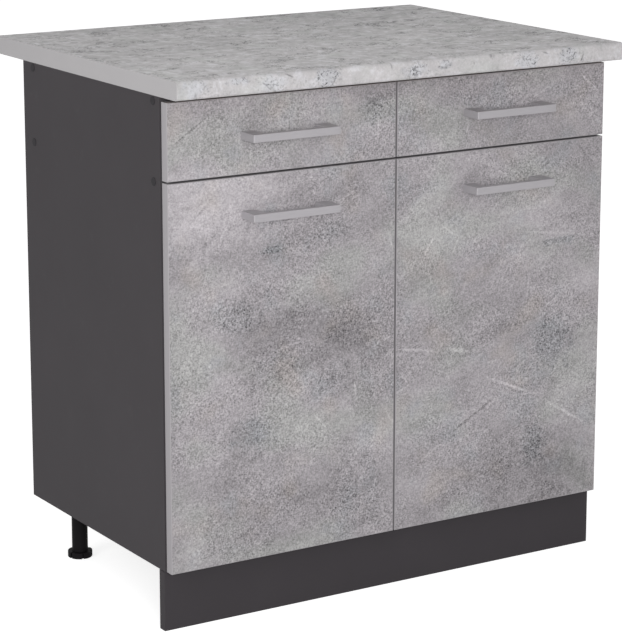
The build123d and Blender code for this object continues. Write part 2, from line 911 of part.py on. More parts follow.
for side in SIDES:
    with BuildPart() as drawer_sides:
        for wall, into in runner_walls(side):
            inner = wall + into * box_side_inset
            block((wall + into * runner_space, inner), (inner_face_y, box_back_y), (box_z, box_top))
            block(
                (inner - into * drawer_bottom_groove, inner),
                (inner_face_y, box_back_y),
                (box_bottom_z, box_bottom_z + drawer_bottom_gauge),
                mode=Mode.SUBTRACT,
            )
        drill(cam_seats(side), cam_radius, cam_depth)
        drill(cam_bolt_seats(side), cam_bolt_radius, cam_setback)
        drill(box_rail_screw_seats(side), small_screw_radius, small_screw_length)
        with Locations(*box_screw_seats(side)):
            CounterSinkHole(sunk_screw_radius, sunk_screw_head, box_board, 90)
    save(drawer_sides, f"drawer_sides_{NAMES[side]}")

    with BuildPart() as drawer_back:
        block(
            [wall + into * box_side_inset for wall, into in runner_walls(side)],
            (box_back_y - box_board, box_back_y),
            (box_bottom_z + drawer_bottom_gauge, box_top),
        )
        drill(box_screw_seats(side), sunk_screw_radius, box_screw_length)
        drill(bottom_screw_seats(side), small_screw_radius, small_screw_length)
    save(drawer_back, f"drawer_back_{NAMES[side]}")

    with BuildPart() as drawer_bottom:
        edge_inset = box_side_inset - drawer_bottom_groove + drawer_bottom_play
        block(
            [wall + into * edge_inset for wall, into in runner_walls(side)],
            (inner_face_y - drawer_bottom_groove + drawer_bottom_play, box_back_y),
            (box_bottom_z, box_bottom_z + drawer_bottom_gauge),
        )
        drill(bottom_screw_seats(side), small_screw_radius, small_screw_length)
    save(drawer_bottom, f"drawer_bottom_{NAMES[side]}")

    with BuildPart() as drawer_fittings:
        with Locations(*[seat.offset(-cam_depth) for seat in cam_seats(side)]):
            Cylinder(cam_radius, cam_depth, align=SEATED)
        drill(cam_bolt_seats(side), cam_bolt_radius + cam_bolt_play, cam_setback + cam_bolt_play)
        with Locations(*[seat.offset(-cam_bolt_bite) for seat in cam_bolt_seats(side)]):
            Cylinder(cam_bolt_radius, cam_bolt_bite + cam_setback, align=SEATED)
        place(box_screw, box_screw_seats(side))
        place(small_screw, box_rail_screw_seats(side))
        place(small_screw, bottom_screw_seats(side))
        place(handle_screw, handle_screw_seats(side, drawer_handle_level))
    save(drawer_fittings, f"drawer_fittings_{NAMES[side]}")


# Drawer runners: a channel on each wall with a roller at its front,
# and a rail under each drawer side with a roller at its back

def axle(seat, gap):
    """A shoulder, a pin and a riveted head, standing on a seat."""
    pin_length = gap + roller_width + axle_side_play
    with Locations(seat):
        Cylinder(axle_head, gap - axle_side_play, align=SEATED)
        Cylinder(axle_radius, pin_length, align=SEATED)
    with Locations(seat.offset(pin_length)):
        Cylinder(axle_head, axle_head_thickness, align=SEATED)


def save_rollers(seats, gap, label):
    """The pair of nylon rollers that turn on the given axle seats."""
    with BuildPart() as rollers:
        with Locations(*[seat.offset(gap) for seat in seats]):
            Cylinder(roller_radius, roller_width, align=SEATED)
        chamfer(edges().filter_by(GeomType.CIRCLE), roller_round)
        with Locations(*[seat.offset(gap) for seat in seats]):
            Cylinder(axle_radius + axle_play, roller_width, align=SEATED, mode=Mode.SUBTRACT)
    save(rollers, label)


with BuildPart() as carcass_runners:
    channel_y = (runner_front_y, box_back_y)
    roof_y = (channel_y[0] + runner_roof_setback, channel_y[1])
    floor_z = roller_z - roller_radius - roller_play
    roof_z = box_lip_z + runner_gauge + runner_roof_gap
    for side in SIDES:
        for wall, into in runner_walls(side):
            web_x = (wall, wall + into * runner_gauge)
            flange_x = (wall, wall + into * runner_flange)
            block(web_x, channel_y, (floor_z - runner_gauge, roof_z + runner_gauge))
            block(flange_x, channel_y, (floor_z - runner_gauge, floor_z))
            block(flange_x, roof_y, (roof_z, roof_z + runner_gauge))
        for seat in wall_axle_seats(side):
            axle(seat, wall_roller_gap)
        drill(runner_screw_seats(side), small_screw_radius, runner_gauge)
save(carcass_runners, "carcass_runners")

for side in SIDES:
    with BuildPart() as drawer_runners:
        rail_y = (inner_face_y, box_back_y)
        lip_z = (box_lip_z, box_lip_z + runner_gauge)
        for wall, into in runner_walls(side):
            face_x = wall + into * runner_space
            web_x = face_x - into * runner_gauge
            block((web_x, face_x), rail_y, (box_z - runner_gauge, lip_z[1]))
            block((web_x, face_x + into * runner_foot), rail_y, (box_z - runner_gauge, box_z))
            block((wall + into * runner_lip_gap, face_x), rail_y, lip_z)
        for seat in box_axle_seats(side):
            axle(seat, box_roller_gap)
        drill(box_rail_screw_seats(side), small_screw_radius, runner_gauge)
    save(drawer_runners, f"drawer_runners_{NAMES[side]}")

    save_rollers(wall_axle_seats(side), wall_roller_gap, f"runner_rollers_{NAMES[side]}")
    save_rollers(box_axle_seats(side), box_roller_gap, f"drawer_rollers_{NAMES[side]}")


# Fasteners and pads of the carcass

with BuildPart() as carcass_screws:
    for side in SIDES:
        place(carcass_screw, rail_screw_seats(side))
        place(carcass_screw, base_screw_seats(side))
    place(carcass_screw, divider_screw_seats())
save(carcass_screws, "carcass_screws")

with BuildPart() as screw_caps:
    for side in SIDES:
        place(screw_cap, rail_screw_seats(side))
save(screw_caps, "screw_caps")

with BuildPart() as dowels:
    for side in SIDES:
        place(dowel, rail_dowel_seats(side))
        place(dowel, base_dowel_seats(side))
    place(dowel, divider_dowel_seats())
save(dowels, "dowels")

with BuildPart() as worktop_screws:
    place(worktop_screw, worktop_screw_seats())
save(worktop_screws, "worktop_screws")

with BuildPart() as fitting_screws:
    for side in SIDES:
        place(small_screw, runner_screw_seats(side))
        place(small_screw, hinge_plate_screw_seats(side))
        place(arm_screw, arm_screw_seats(side))
    place(small_screw, leg_screw_seats())
    place(small_screw, clip_screw_seats())
save(fitting_screws, "fitting_screws")

with BuildPart() as bumper_pads:
    door_pad_levels = (under_z + board / 2, mid_rail_under + pad_radius + pad_edge)
    drawer_pad_level = top_rail_under + pad_radius + pad_edge
    for side in SIDES:
        free_edge_x = mid_x + side * pad_inset
        outer_x = from_side(side, board + pad_inset)
        door_pads = [(free_edge_x, front_y, level) for level in door_pad_levels]
        drawer_pads = [(x, front_y, drawer_pad_level) for x in (free_edge_x, outer_x)]
        with Locations(*facing((0, -1, 0), door_pads + drawer_pads)):
            Cylinder(pad_radius, stand_off - pad_gap, align=SEATED)
    fillet(edges().filter_by(GeomType.CIRCLE).group_by(Axis.Y)[0], pad_round)
save(bumper_pads, "bumper_pads")
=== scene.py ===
import math

import bpy
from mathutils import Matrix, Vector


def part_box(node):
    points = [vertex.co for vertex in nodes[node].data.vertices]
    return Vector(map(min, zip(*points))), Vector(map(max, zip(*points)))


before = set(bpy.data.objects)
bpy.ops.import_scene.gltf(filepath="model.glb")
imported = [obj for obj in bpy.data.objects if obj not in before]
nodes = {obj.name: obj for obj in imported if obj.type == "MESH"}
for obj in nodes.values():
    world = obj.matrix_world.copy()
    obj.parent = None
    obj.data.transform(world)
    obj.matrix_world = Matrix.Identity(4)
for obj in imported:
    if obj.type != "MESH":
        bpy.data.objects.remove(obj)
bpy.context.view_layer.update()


# Carcass boards: two sides, the bottom, four rails, the drawer divider and the shelf.
# 16 mm chipboard faced with matte anthracite melamine, sawn, edged with a thin matching
# strip where they show, and left raw along the back edges. Dowels and long screws hold them.

# The pieces' sizes are in millimetres. A mark reaches endlessly deep, so that depth doesn't fade it.
metre = 1000
endless = 1000


def millimetres(corners):
    """The two corners of a box, turned from the frame's metres into millimetres."""
    return [[place * metre for place in corner] for corner in corners]


class Reading:
    """A number that varies over a surface. A sum on it adds the node that works it out."""

    def __init__(self, finish, socket):
        self.finish = finish
        self.socket = socket

    def sum(self, operation, *numbers):
        return self.finish.node("ShaderNodeMath", {"operation": operation}, dict(enumerate(numbers)))

    def __add__(self, other):
        return self.sum("ADD", self, other)

    def __radd__(self, other):
        return self.sum("ADD", other, self)

    def __sub__(self, other):
        return self.sum("SUBTRACT", self, other)

    def __rsub__(self, other):
        return self.sum("SUBTRACT", other, self)

    def __mul__(self, other):
        return self.sum("MULTIPLY", self, other)

    def __abs__(self):
        return self.sum("ABSOLUTE", self)

    def lesser(self, other):
        return self.sum("MINIMUM", self, other)

    def greater(self, other):
        return self.sum("MAXIMUM", self, other)

    def swing(self, amount):
        """Grain turned into an amount above and below nothing."""
        return (self - 0.5) * amount

    def fade(self, start, end):
        """0 where the number is at start, 1 where it is at end, and smooth between."""
        settings = {"interpolation_type": "SMOOTHSTEP"}
        return self.finish.node("ShaderNodeMapRange", settings, {0: self, 1: start, 2: end})


class Finish:
    """A finish being mixed: its shader, the place on the piece, and the patterns that it is made of."""

    def __init__(self, owner):
        owner.use_nodes = True
        self.owner = owner
        self.tree = owner.node_tree

    def node(self, kind, settings, sockets, output=0):
        """Adds a node, sets it, fills or links its sockets, and gives back one of its outputs."""
        made = self.tree.nodes.new(kind)
        for name, value in settings.items():
            setattr(made, name, value)
        for name, value in sockets.items():
            if isinstance(value, Reading):
                self.tree.links.new(value.socket, made.inputs[name])
            else:
                made.inputs[name].default_value = value
        return Reading(self, made.outputs[output])

    def place(self):
        """Where on the piece, in metres along its own three directions."""
        return self.node("ShaderNodeTexCoord", {}, {}, "Object")

    def along(self, direction):
        """The place along x, y or z alone, in millimetres."""
        return self.node("ShaderNodeSeparateXYZ", {}, {0: self.place()}, direction.upper()) * metre

    def stretched(self, x, y, z, turn=(0, 0, 0), start=(0, 0, 0)):
        """The place from a start in metres, turned, and drawn out so many times along x, y and z."""
        sockets = {"Vector": self.place(), "Location": start, "Rotation": turn, "Scale": (x, y, z)}
        return self.node("ShaderNodeMapping", {"vector_type": "TEXTURE"}, sockets)

    def grain(self, size, detail=2, roughness=0.5, at=None, warp=0):
        """Soft random grain from 0 to 1, with features about size millimetres across."""
        sockets = {
            "Vector": at or self.place(),
            "Scale": metre / size,
            "Detail": detail,
            "Roughness": roughness,
            "Distortion": warp,
        }
        return self.node("ShaderNodeTexNoise", {}, sockets)

    def chips(self, size, at=None, output="Distance"):
        """Scattered cells about size millimetres across: how far from a cell's middle, or its own colour."""
        sockets = {"Vector": at or self.place(), "Scale": metre / size}
        return self.node("ShaderNodeTexVoronoi", {}, sockets, output)

    def mixed(self, share, first, second):
        """A colour that goes from the first to the second as the share goes from 0 to 1."""
        colours = [c if isinstance(c, Reading) else (*c, 1) for c in (first, second)]
        sockets = {0: share, 6: colours[0], 7: colours[1]}
        return self.node("ShaderNodeMix", {"data_type": "RGBA"}, sockets, 2)

    def shaded(self, colour, amount):
        """A colour made lighter or darker by the amount, where 1 leaves it as it is."""
        return self.node("ShaderNodeVectorMath", {"operation": "SCALE"}, {0: colour, "Scale": amount})

    def mark(self, x, z, length, width, lean, ragged, soft=0.75):
        """1 in the middle of one mark on an upright board, fading to 0 over the soft share of its reach."""
        sockets = {
            "Vector": self.place(),
            "Location": (x / metre, 0, z / metre),
            "Rotation": (0, -math.radians(lean), 0),
            "Scale": (length / 2 / metre, endless, width / 2 / metre),
        }
        inside = self.node("ShaderNodeMapping", {"vector_type": "TEXTURE"}, sockets)
        reach = self.node("ShaderNodeVectorMath", {"operation": "LENGTH"}, {0: inside}, "Value")
        return (reach + ragged).fade(1, 1 - soft)

    def relief(self, height, depth):
        """The surface raised where height is 1, by so many millimetres."""
        sockets = {"Height": height, "Distance": depth / metre, "Strength": 1}
        return self.node("ShaderNodeBump", {}, sockets, "Normal")

    def shader(self, **sockets):
        """Fills or links the sockets of the finish's own shader."""
        shader = self.tree.nodes["Principled BSDF"]
        for name, value in sockets.items():
            socket = shader.inputs[name.replace("_", " ")]
            if isinstance(value, Reading):
                self.tree.links.new(value.socket, socket)
            else:
                socket.default_value = value
        return self.owner


def give(material, *names):
    """Puts a material on the named CAD nodes."""
    for name in names:
        slots = nodes[name].data.materials
        slots.clear()
        slots.append(material)


anthracite = (0.0525, 0.0480, 0.0518)
dark_chip = (0.30, 0.19, 0.10)
light_chip = (0.56, 0.42, 0.26)
gap_brown = (0.10, 0.06, 0.035)
melamine_skin = 0.25

# Of these boards, only those that reach past this y have a sawn back edge.
sawn_from = 200


def raw_chipboard(finish):
    """The look of a sawn chipboard edge: light and dark chips pressed together, with small gaps."""
    flat = finish.stretched(2.2, 2.2, 1)
    chips = finish.chips(2.6, flat, output="Color")
    tone = finish.node("ShaderNodeSeparateColor", {}, {0: chips})
    dust = finish.grain(0.9, 2)
    gaps = finish.grain(3.4, 2, at=flat).fade(0.40, 0.32)
    colour = finish.mixed(tone * 0.7 + dust * 0.3, dark_chip, light_chip)
    return finish.mixed(gaps * 0.75, colour, gap_brown)


def sawn_back(finish, back):
    """1 on the back edge of a board alone, within the last part of a millimetre."""
    return finish.along("y").fade(back - 0.3, back - 0.1)


def melamine(name, colour, low, high, raw_back):
    """Board faces with a fine pearl, and a sawn core on the back edge between the two faces."""
    finish = Finish(bpy.data.materials.new(name))
    pearl = finish.grain(0.7, 2, 0.6)
    clouds = finish.grain(90, 3)
    rubbed = finish.grain(26, 4, 0.65, finish.stretched(3, 1, 1), 0.6).fade(0.58, 0.78)
    tone = 1 + clouds.swing(0.14) + pearl.swing(0.16) + rubbed * 0.05
    surface = finish.shaded(colour, tone)
    gloss = 0.46 + pearl * 0.10 - rubbed * 0.06
    if raw_back:
        thin = min(range(3), key=lambda i: high[i] - low[i])
        across = finish.along("xyz"[thin])
        inside = (across - low[thin]).lesser(high[thin] - across)
        core = inside.fade(melamine_skin, melamine_skin + 0.15) * sawn_back(finish, high[1])
        surface = finish.mixed(core, surface, raw_chipboard(finish))
        gloss = gloss + core * 0.4
    return finish.shader(
        Base_Color=surface,
        Roughness=gloss,
        Normal=finish.relief(pearl, 0.02),
        Specular_IOR_Level=0.05,
    )


carcass_boards = [
    "side_panel_left", "side_panel_right", "bottom_panel", "top_rail_front", "top_rail_back",
    "mid_rail_front", "mid_rail_back", "drawer_divider", "shelf",
]
for name in carcass_boards:
    low, high = millimetres(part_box(name))
    raw_back = high[1] > sawn_from
    give(melamine(name + "_melamine", anthracite, low, high, raw_back), name)


# Carcass screws, their caps and the dowels. The long zinc-plated screws go through the sides and
# the bottom into the boards' ends, charcoal plastic caps are pressed over their heads,
# and fluted beech dowels are glued beside them.
def plated_steel(name, colour, gloss, stain):
    """Thin bright plating, with faint cloudy stains and short rubbing marks."""
    finish = Finish(bpy.data.materials.new(name))
    clouds = finish.grain(7, 3, 0.6)
    rubs = finish.grain(1.2, 3, 0.7, finish.stretched(4, 1, 1, turn=(0, 0, 0.5)))
    surface = finish.mixed(clouds.fade(0.35, 0.7), colour, stain)
    return finish.shader(
        Base_Color=finish.shaded(surface, 0.86 + rubs * 0.22),
        Roughness=gloss + clouds * 0.12 + rubs * 0.10,
        Metallic=1.0,
        Normal=finish.relief(rubs, 0.01),
    )


give(
    plated_steel("zinc_plated_steel", (0.56, 0.56, 0.54), gloss=0.24, stain=(0.60, 0.58, 0.50)),
    "carcass_screws", "worktop_screws", "fitting_screws", "door_screws_left", "door_screws_right",
    "drawer_fittings_left", "drawer_fittings_right",
)


def moulded_plastic(name, colour, gloss, grain_depth):
    """Moulded plastic with a fine spark-eroded texture and slightly polished high spots."""
    finish = Finish(bpy.data.materials.new(name))
    texture = finish.grain(0.5, 3, 0.7)
    flow = finish.grain(14, 2)
    return finish.shader(
        Base_Color=finish.shaded(colour, 0.88 + texture * 0.14 + flow * 0.10),
        Roughness=gloss + texture * 0.14,
        Normal=finish.relief(texture, grain_depth),
        Specular_IOR_Level=0.05,
    )


give(
    moulded_plastic("charcoal_cap_plastic", (0.031, 0.029, 0.032), gloss=0.42, grain_depth=0.015),
    "screw_caps",
)

late_wood = (0.44, 0.28, 0.155)
early_wood = (0.66, 0.49, 0.32)
beech = Finish(bpy.data.materials.new("bare_beech"))
rays = beech.grain(0.8, 2, 0.5, beech.stretched(7, 1, 1))
bands = beech.grain(3.5, 3, 0.55, beech.stretched(5, 1, 1))
give(
    beech.shader(
        Base_Color=beech.mixed(rays * 0.6 + bands * 0.4, late_wood, early_wood),
        Roughness=0.62 + rays * 0.15,
        Normal=beech.relief(rays, 0.03),
    ),
    "dowels",
)


# Back panels and the strip that joins them. 3 mm hardboard printed anthracite on the inside and
# bare brown fibre on the outside, slid into grooves in the boards, with a black plastic
# H-section where the two halves meet.
low, high = millimetres(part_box("back_panel_left"))
outside = high[1]
printed_anthracite = (0.046, 0.043, 0.047)
dark_fibre = (0.20, 0.115, 0.055)
light_fibre = (0.40, 0.265, 0.145)
hardboard = Finish(bpy.data.materials.new("printed_hardboard"))
fibres = hardboard.grain(1.6, 4, 0.7, hardboard.stretched(3, 1, 3), 0.8)
blotches = hardboard.grain(45, 3)
printed = hardboard.shaded(printed_anthracite, 0.88 + fibres * 0.16 + blotches * 0.08)
bare = hardboard.mixed(fibres * 0.6 + blotches * 0.4, dark_fibre, light_fibre)
outer_face = hardboard.along("y").fade(outside - 0.5, outside - 0.2)
give(
    hardboard.shader(
        Base_Color=hardboard.mixed(outer_face, printed, bare),
        Roughness=0.50 + fibres * 0.08 + outer_face * 0.28,
        Normal=hardboard.relief(fibres, 0.04),
        Specular_IOR_Level=0.3,
    ),
    "back_panel_left", "back_panel_right",
)
black_plastic = moulded_plastic("black_leg_plastic", (0.0080, 0.0074, 0.0082), gloss=0.50, grain_depth=0.02)
give(black_plastic, "back_panel_joiner")


# Legs, feet and plinth clips: black moulded plastic. The sleeve's plate is screwed under the bottom
# board, the foot's stem turns up and down in the sleeve, and a forked clip on the plinth
# snaps round each front sleeve.
give(
    black_plastic,
    "leg_sleeves", "leg_foot_front_left", "leg_foot_front_right", "leg_foot_back_left",
    "leg_foot_back_right", "plinth_clips",
)


# Plinth: one 16 mm board in the same anthracite melamine, standing on the floor in front of
# the legs and held by its clips.
low, high = millimetres(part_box("plinth_panel"))
# A darker copy of the carcass anthracite: painted shade for the plinth, which stands back under the doors.
plinth_anthracite_with_painted_shade = (0.0480, 0.0437, 0.0476)
give(melamine("plinth_melamine_with_painted_shade", plinth_anthracite_with_painted_shade, low, high, raw_back=False), "plinth_panel")


# Runners and rollers: rolled steel channels with a light grey powder coat, screwed to the sides,
# the divider and the drawer sides, and white nylon rollers on riveted axles.
powder_coat = Finish(bpy.data.materials.new("light_grey_powder_coat"))
orange_peel = powder_coat.grain(1.1, 2, 0.5)
track = powder_coat.grain(2.0, 3, 0.6, powder_coat.stretched(1, 30, 1)).fade(0.55, 0.75)
give(
    powder_coat.shader(
        Base_Color=powder_coat.shaded((0.55, 0.55, 0.54), 0.94 + orange_peel * 0.10 - track * 0.16),
        Roughness=0.34 + orange_peel * 0.12 - track * 0.10,
        Normal=powder_coat.relief(orange_peel, 0.03),
    ),
    "carcass_runners", "drawer_runners_left", "drawer_runners_right",
)
give(
    moulded_plastic("white_nylon", (0.70, 0.69, 0.66), gloss=0.38, grain_depth=0.01),
    "runner_rollers_left", "runner_rollers_right", "drawer_rollers_left", "drawer_rollers_right",
)


# Hinges: pressed and nickel-plated steel. The cups sit in 35 mm holes in the doors, the arms
# clip on plates screwed to the sides, and a link joins the two.
give(
    plated_steel("nickel_plated_steel", (0.60, 0.585, 0.56), gloss=0.20, stain=(0.55, 0.53, 0.49)),
    "hinge_plates", "hinge_arms", "hinge_links_left", "hinge_links_right", "hinge_cups_left",
    "hinge_cups_right",
)


# Drawer boxes: 12 mm chipboard sides and backs and a 3 mm bottom, faced with light grey
# melamine that has a faint linen print. Grooved, dowelled and screwed together.
linen = Finish(bpy.data.materials.new("light_grey_drawer_melamine"))
warp_threads = linen.grain(0.7, 2, 0.6, linen.stretched(1, 1, 18))
weft_threads = linen.grain(0.7, 2, 0.6, linen.stretched(1, 18, 1))
weave = warp_threads * 0.5 + weft_threads * 0.5
dust = linen.grain(60, 4, 0.6).fade(0.52, 0.75)
give(
    linen.shader(
        Base_Color=linen.shaded((0.47, 0.462, 0.466), 0.90 + weave * 0.20 - dust * 0.04),
        Roughness=0.44 + weave * 0.12,
        Normal=linen.relief(weave, 0.03),
        Specular_IOR_Level=0.4,
    ),
    "drawer_sides_left", "drawer_sides_right", "drawer_back_left", "drawer_back_right",
    "drawer_bottom_left", "drawer_bottom_right",
)


# Doors and drawer fronts: 16 mm chipboard faced with a matte print of trowelled concrete, and
# edged all round with a plain grey plastic strip, rounded over at the front. Each is cut from a
# long panel, so its clouds, smears and scratches differ from its neighbour's.
concrete_grey = (0.318, 0.299, 0.313)
green_grey = (0.305, 0.302, 0.299)
warm_grey = (0.329, 0.302, 0.299)
cool_grey = (0.293, 0.293, 0.309)
edge_grey = (0.338, 0.323, 0.336)
edge_strip = 0.9
edge_blur = 0.05
seam_reach = 0.18

# Marks on the faces: the x and z of each one's middle, its length and width in millimetres, its
# lean in degrees, and how much lighter or darker it is. Broad shades come first, then patches, of
# which the small dark ones are rougher and cooler, and then thin broken scratches. Most are marks
# of the print, but the broad shades lighter high on the doors and darker low on them are painted
# shade, and the light patches along the left edge of the left fronts are a painted highlight.
small_patch = 120
broad_shades_and_painted_light = [
    (-310, 640, 330, 210, 0, 0.18), (-180, 420, 380, 200, 0, -0.26), (-200, 180, 460, 240, 0, -0.13),
    (260, 140, 360, 220, 0, -0.12), (110, 610, 240, 170, 0, 0.03), (325, 135, 170, 120, 0, -0.24),
]
patches_and_painted_highlights = [
    (-363, 610, 110, 180, 0, 0.11), (-375, 750, 90, 110, 0, 0.06), (-262, 532, 190, 60, 4, 0.08),
    (-353, 300, 80, 210, 0, 0.06), (-120, 470, 150, 60, -6, 0.06), (20, 610, 110, 90, 0, 0.06),
    (70, 560, 110, 60, 16, 0.07), (230, 586, 330, 22, 3, 0.08), (250, 530, 330, 12, 5, 0.09),
    (-287, 475, 104, 70, 0, -0.11), (-255, 290, 120, 80, -8, -0.10), (-223, 573, 64, 18, 3, -0.16),
    (-92, 160, 60, 120, 0, -0.07), (-48, 772, 70, 62, 0, -0.09), (-120, 590, 90, 60, 0, -0.08),
    (300, 362, 120, 120, 0, -0.20), (266, 194, 60, 96, 0, -0.18),
    (56, 246, 120, 66, 20, -0.07), (308, 527, 110, 18, 3, -0.15), (60, 640, 90, 30, 0, -0.09),
    (300, 772, 90, 40, 0, -0.07), (110, 772, 100, 30, 0, -0.05), (-113, 362, 66, 70, 0, -0.06),
    (-48, 175, 44, 150, 4, -0.06), (105, 745, 44, 22, -28, 0.07), (163, 568, 130, 9, 1, 0.09),
    (-60, 500, 90, 60, 10, 0.05), (20, 380, 60, 50, 0, 0.05), (20, 340, 40, 60, 0, 0.05),
]
scratches = [
    (213, 302, 110, 5.0, -24, 0.36), (328, 241, 100, 5.0, -31, 0.36), (34, 383, 70, 5.0, -10, 0.32),
    (116, 372, 50, 8.0, -12, 0.30), (147, 261, 110, 4.6, 29, -0.36), (71, 215, 52, 3.6, 31, 0.26),
    (-37, 738, 3.6, 36, -4, 0.40), (-77, 336, 3.6, 30, 8, 0.36), (-41, 170, 4.0, 44, -10, 0.30),
    (-360, 766, 74, 3.4, 33, -0.32), (366, 778, 44, 3.8, -38, 0.36), (352, 790, 26, 3.4, -50, 0.30),
    (-141, 295, 38, 4.0, -48, 0.32), (306, 540, 166, 4.6, -8, 0.18), (60, 548, 42, 4.0, 52, 0.30),
    (96, 566, 44, 4.0, -36, 0.30), (108, 540, 36, 3.8, 64, 0.28), (126, 470, 30, 4.0, 74, 0.26),
    (-306, 612, 42, 3.8, 56, 0.26), (-350, 640, 58, 3.4, 42, -0.22), (-298, 486, 24, 3.8, 84, 0.24),
    (-150, 690, 50, 3.6, -50, 0.26), (250, 455, 50, 4.0, 84, 0.20), (-200, 420, 66, 3.6, 12, 0.22),
    (-30, 405, 58, 3.6, 20, 0.26), (-66, 192, 7, 7, 0, 0.40), (-334, 408, 6, 6, 0, 0.36),
    (-200, 752, 40, 3.6, -34, 0.22), (268, 770, 36, 3.6, 26, 0.22), (14, 340, 34, 4.0, -52, 0.30),
    (8, 322, 26, 4.4, 24, 0.30), (176, 344, 50, 3.4, 6, 0.22), (-12, 560, 3.8, 34, 12, 0.26),
    (262, 280, 60, 3.6, -8, 0.22), (236, 330, 40, 3.6, 30, 0.20), (-318, 300, 30, 3.8, 66, 0.26),
    (-96, 640, 40, 3.6, 20, 0.20), (60, 500, 3.6, 40, 18, 0.22), (300, 430, 40, 3.6, 30, 0.18),
]


def on_board(marks, low, high):
    """The marks whose middles lie on the board between two corners."""
    return [mark for mark in marks if low[0] < mark[0] < high[0] and low[2] < mark[1] < high[2]]


def trowelled_concrete(name, low, high):
    """The concrete print on the faces, with the plain strip round the four edges."""
    finish = Finish(bpy.data.materials.new(name))
    broad = finish.stretched(1.35, 1, 1, start=(0.31, 0, 0.12))
    clouds = finish.grain(230, 6, 0.82, broad, 0.25)
    rough = finish.grain(70, 3, 0.55, broad).fade(0.64, 0.36)
    speckle = finish.grain(2.6, 1.5, 0.6)
    across = finish.grain(1.6, 1, 0.5, finish.stretched(3, 1, 1))
    upright = finish.grain(1.6, 1, 0.5, finish.stretched(1, 1, 3))
    ragged = finish.grain(14, 4, 0.7).swing(1.6)
    broken = finish.grain(5, 3, 0.6).swing(2.6)
    shade = 0
    cold = 0
    scored = 0
    # Both lists hold print marks together with painted shade low on the doors and a painted highlight along
    # the left edges of the left fronts.
    for x, z, length, width, lean, amount in on_board(broad_shades_and_painted_light + patches_and_painted_highlights, low, high):
        shape = finish.mark(x, z, length, width, lean, ragged)
        shade = shape * amount + shade
        if amount < 0 and length <= small_patch:
            cold = shape * -amount + cold
    for x, z, length, width, lean, amount in on_board(scratches, low, high):
        scored = finish.mark(x, z, length, width, lean, broken, soft=0.4) * amount + scored
    smears = finish.grain(42, 3, 0.6, finish.stretched(3.4, 1, 1, turn=(0, math.radians(-20), 0)), 0.4)
    drags = finish.grain(17, 3, 0.6, finish.stretched(1, 1, 8, turn=(0, math.radians(6), 0)), 0.15)
    dots = finish.chips(12).fade(0.17, 0.09) * (rough * 0.7 + 0.3)
    pits = finish.chips(9, finish.stretched(1, 1, 1, start=(0.4, 0, 0.7))).fade(0.17, 0.09) * rough
    strokes = finish.chips(24, finish.stretched(1, 1, 5, turn=(0, math.radians(12), 0))).fade(0.10, 0.04)
    curls = abs(finish.grain(26, 3, 0.6, warp=1.2) - 0.5).fade(0.012, 0.004) * clouds.fade(0.50, 0.60)
    harsh = (rough * 0.80 + cold * 6 + 0.95).lesser(2.1)
    tone = (
        1
        + clouds.swing(1.05)
        + speckle.swing(1.05) * harsh
        + (across + upright - 1) * harsh * 0.56
        + smears.swing(0.62)
        + dots * 0.31
        - pits * 0.16
        + strokes * 0.26 * drags.fade(0.45, 0.60)
        + curls * 0.26
        + shade
        + scored
    )
    green = finish.grain(120, 2, 0.5, broad)
    print_colour = finish.mixed(green.fade(0.48, 0.66) * 0.9, concrete_grey, green_grey)
    warm = finish.grain(85, 2, 0.5, finish.stretched(1, 1, 1, start=(3, 1, 2)))
    print_colour = finish.mixed(warm.fade(0.54, 0.72) * 0.8, print_colour, warm_grey)
    cool = finish.grain(60, 3, 0.55, finish.stretched(1, 1, 1, start=(7, 2, 5))).fade(0.54, 0.70)
    print_colour = finish.mixed((cool * 0.6 + cold * 3.6).lesser(1), print_colour, cool_grey)
    x = finish.along("x")
    z = finish.along("z")
    from_side = (x - low[0]).lesser(high[0] - x)
    from_end = (z - low[2]).lesser(high[2] - z)
    from_edge = from_side.lesser(from_end)
    strip = from_edge.fade(edge_strip + edge_blur, edge_strip - edge_blur)
    seam = abs(from_edge - edge_strip).fade(seam_reach, edge_blur)
    plain = finish.shaded(edge_grey, 0.97 + speckle * 0.06)
    surface = finish.mixed(strip, finish.shaded(print_colour, tone), plain)
    surface = finish.shaded(surface, 1 - seam * 0.22)
    return finish.shader(
        Base_Color=surface,
        Roughness=0.50 + speckle * 0.16 - strip * 0.06,
        Normal=finish.relief(speckle, 0.03),
        Specular_IOR_Level=0.25,
    )


for name in ("door_left", "door_right", "drawer_front_left", "drawer_front_right"):
    low, high = millimetres(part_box(name))
    give(trowelled_concrete(name + "_concrete", low, high), name)


# Handles: square-ended bow handles bent from 10 mm bar, brushed along their length, nickel
# coloured and lacquered, each held by two screws from behind the front.
brushed = Finish(bpy.data.materials.new("brushed_nickel"))
brushing = brushed.grain(0.35, 3, 0.6, brushed.stretched(70, 1, 1))
patina = brushed.grain(30, 3, 0.5, brushed.stretched(2, 1, 1))
give(
    brushed.shader(
        Base_Color=brushed.shaded((0.352, 0.337, 0.354), 1 + brushing.swing(0.36) + patina.swing(0.12)),
        Roughness=0.36 + brushing * 0.14,
        Metallic=0.2,
        Normal=brushed.relief(brushing, 0.012),
    ),
    "door_handle_left", "door_handle_right", "drawer_handle_left", "drawer_handle_right",
)


# Worktop: 28 mm chipboard with a light grey stone print in satin laminate, bent over the rounded
# front edge. The underside has a brown backing sheet, the back edge is sawn, and a plain grey
# strip is glued on each end. Screws through the top rails hold it.
low, high = millimetres(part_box("worktop"))
front = low[1]
underneath = low[2]
top = high[2]
nose_start = 11
nose_full = 2
laminate_skin = 0.6
backing_sheet = 0.25
stone_grey = (0.478, 0.462, 0.469)
chalk_white = (0.524, 0.518, 0.540)
lichen_grey = (0.460, 0.460, 0.454)
pale_blue = (0.464, 0.470, 0.500)
backing_brown = (0.20, 0.125, 0.075)

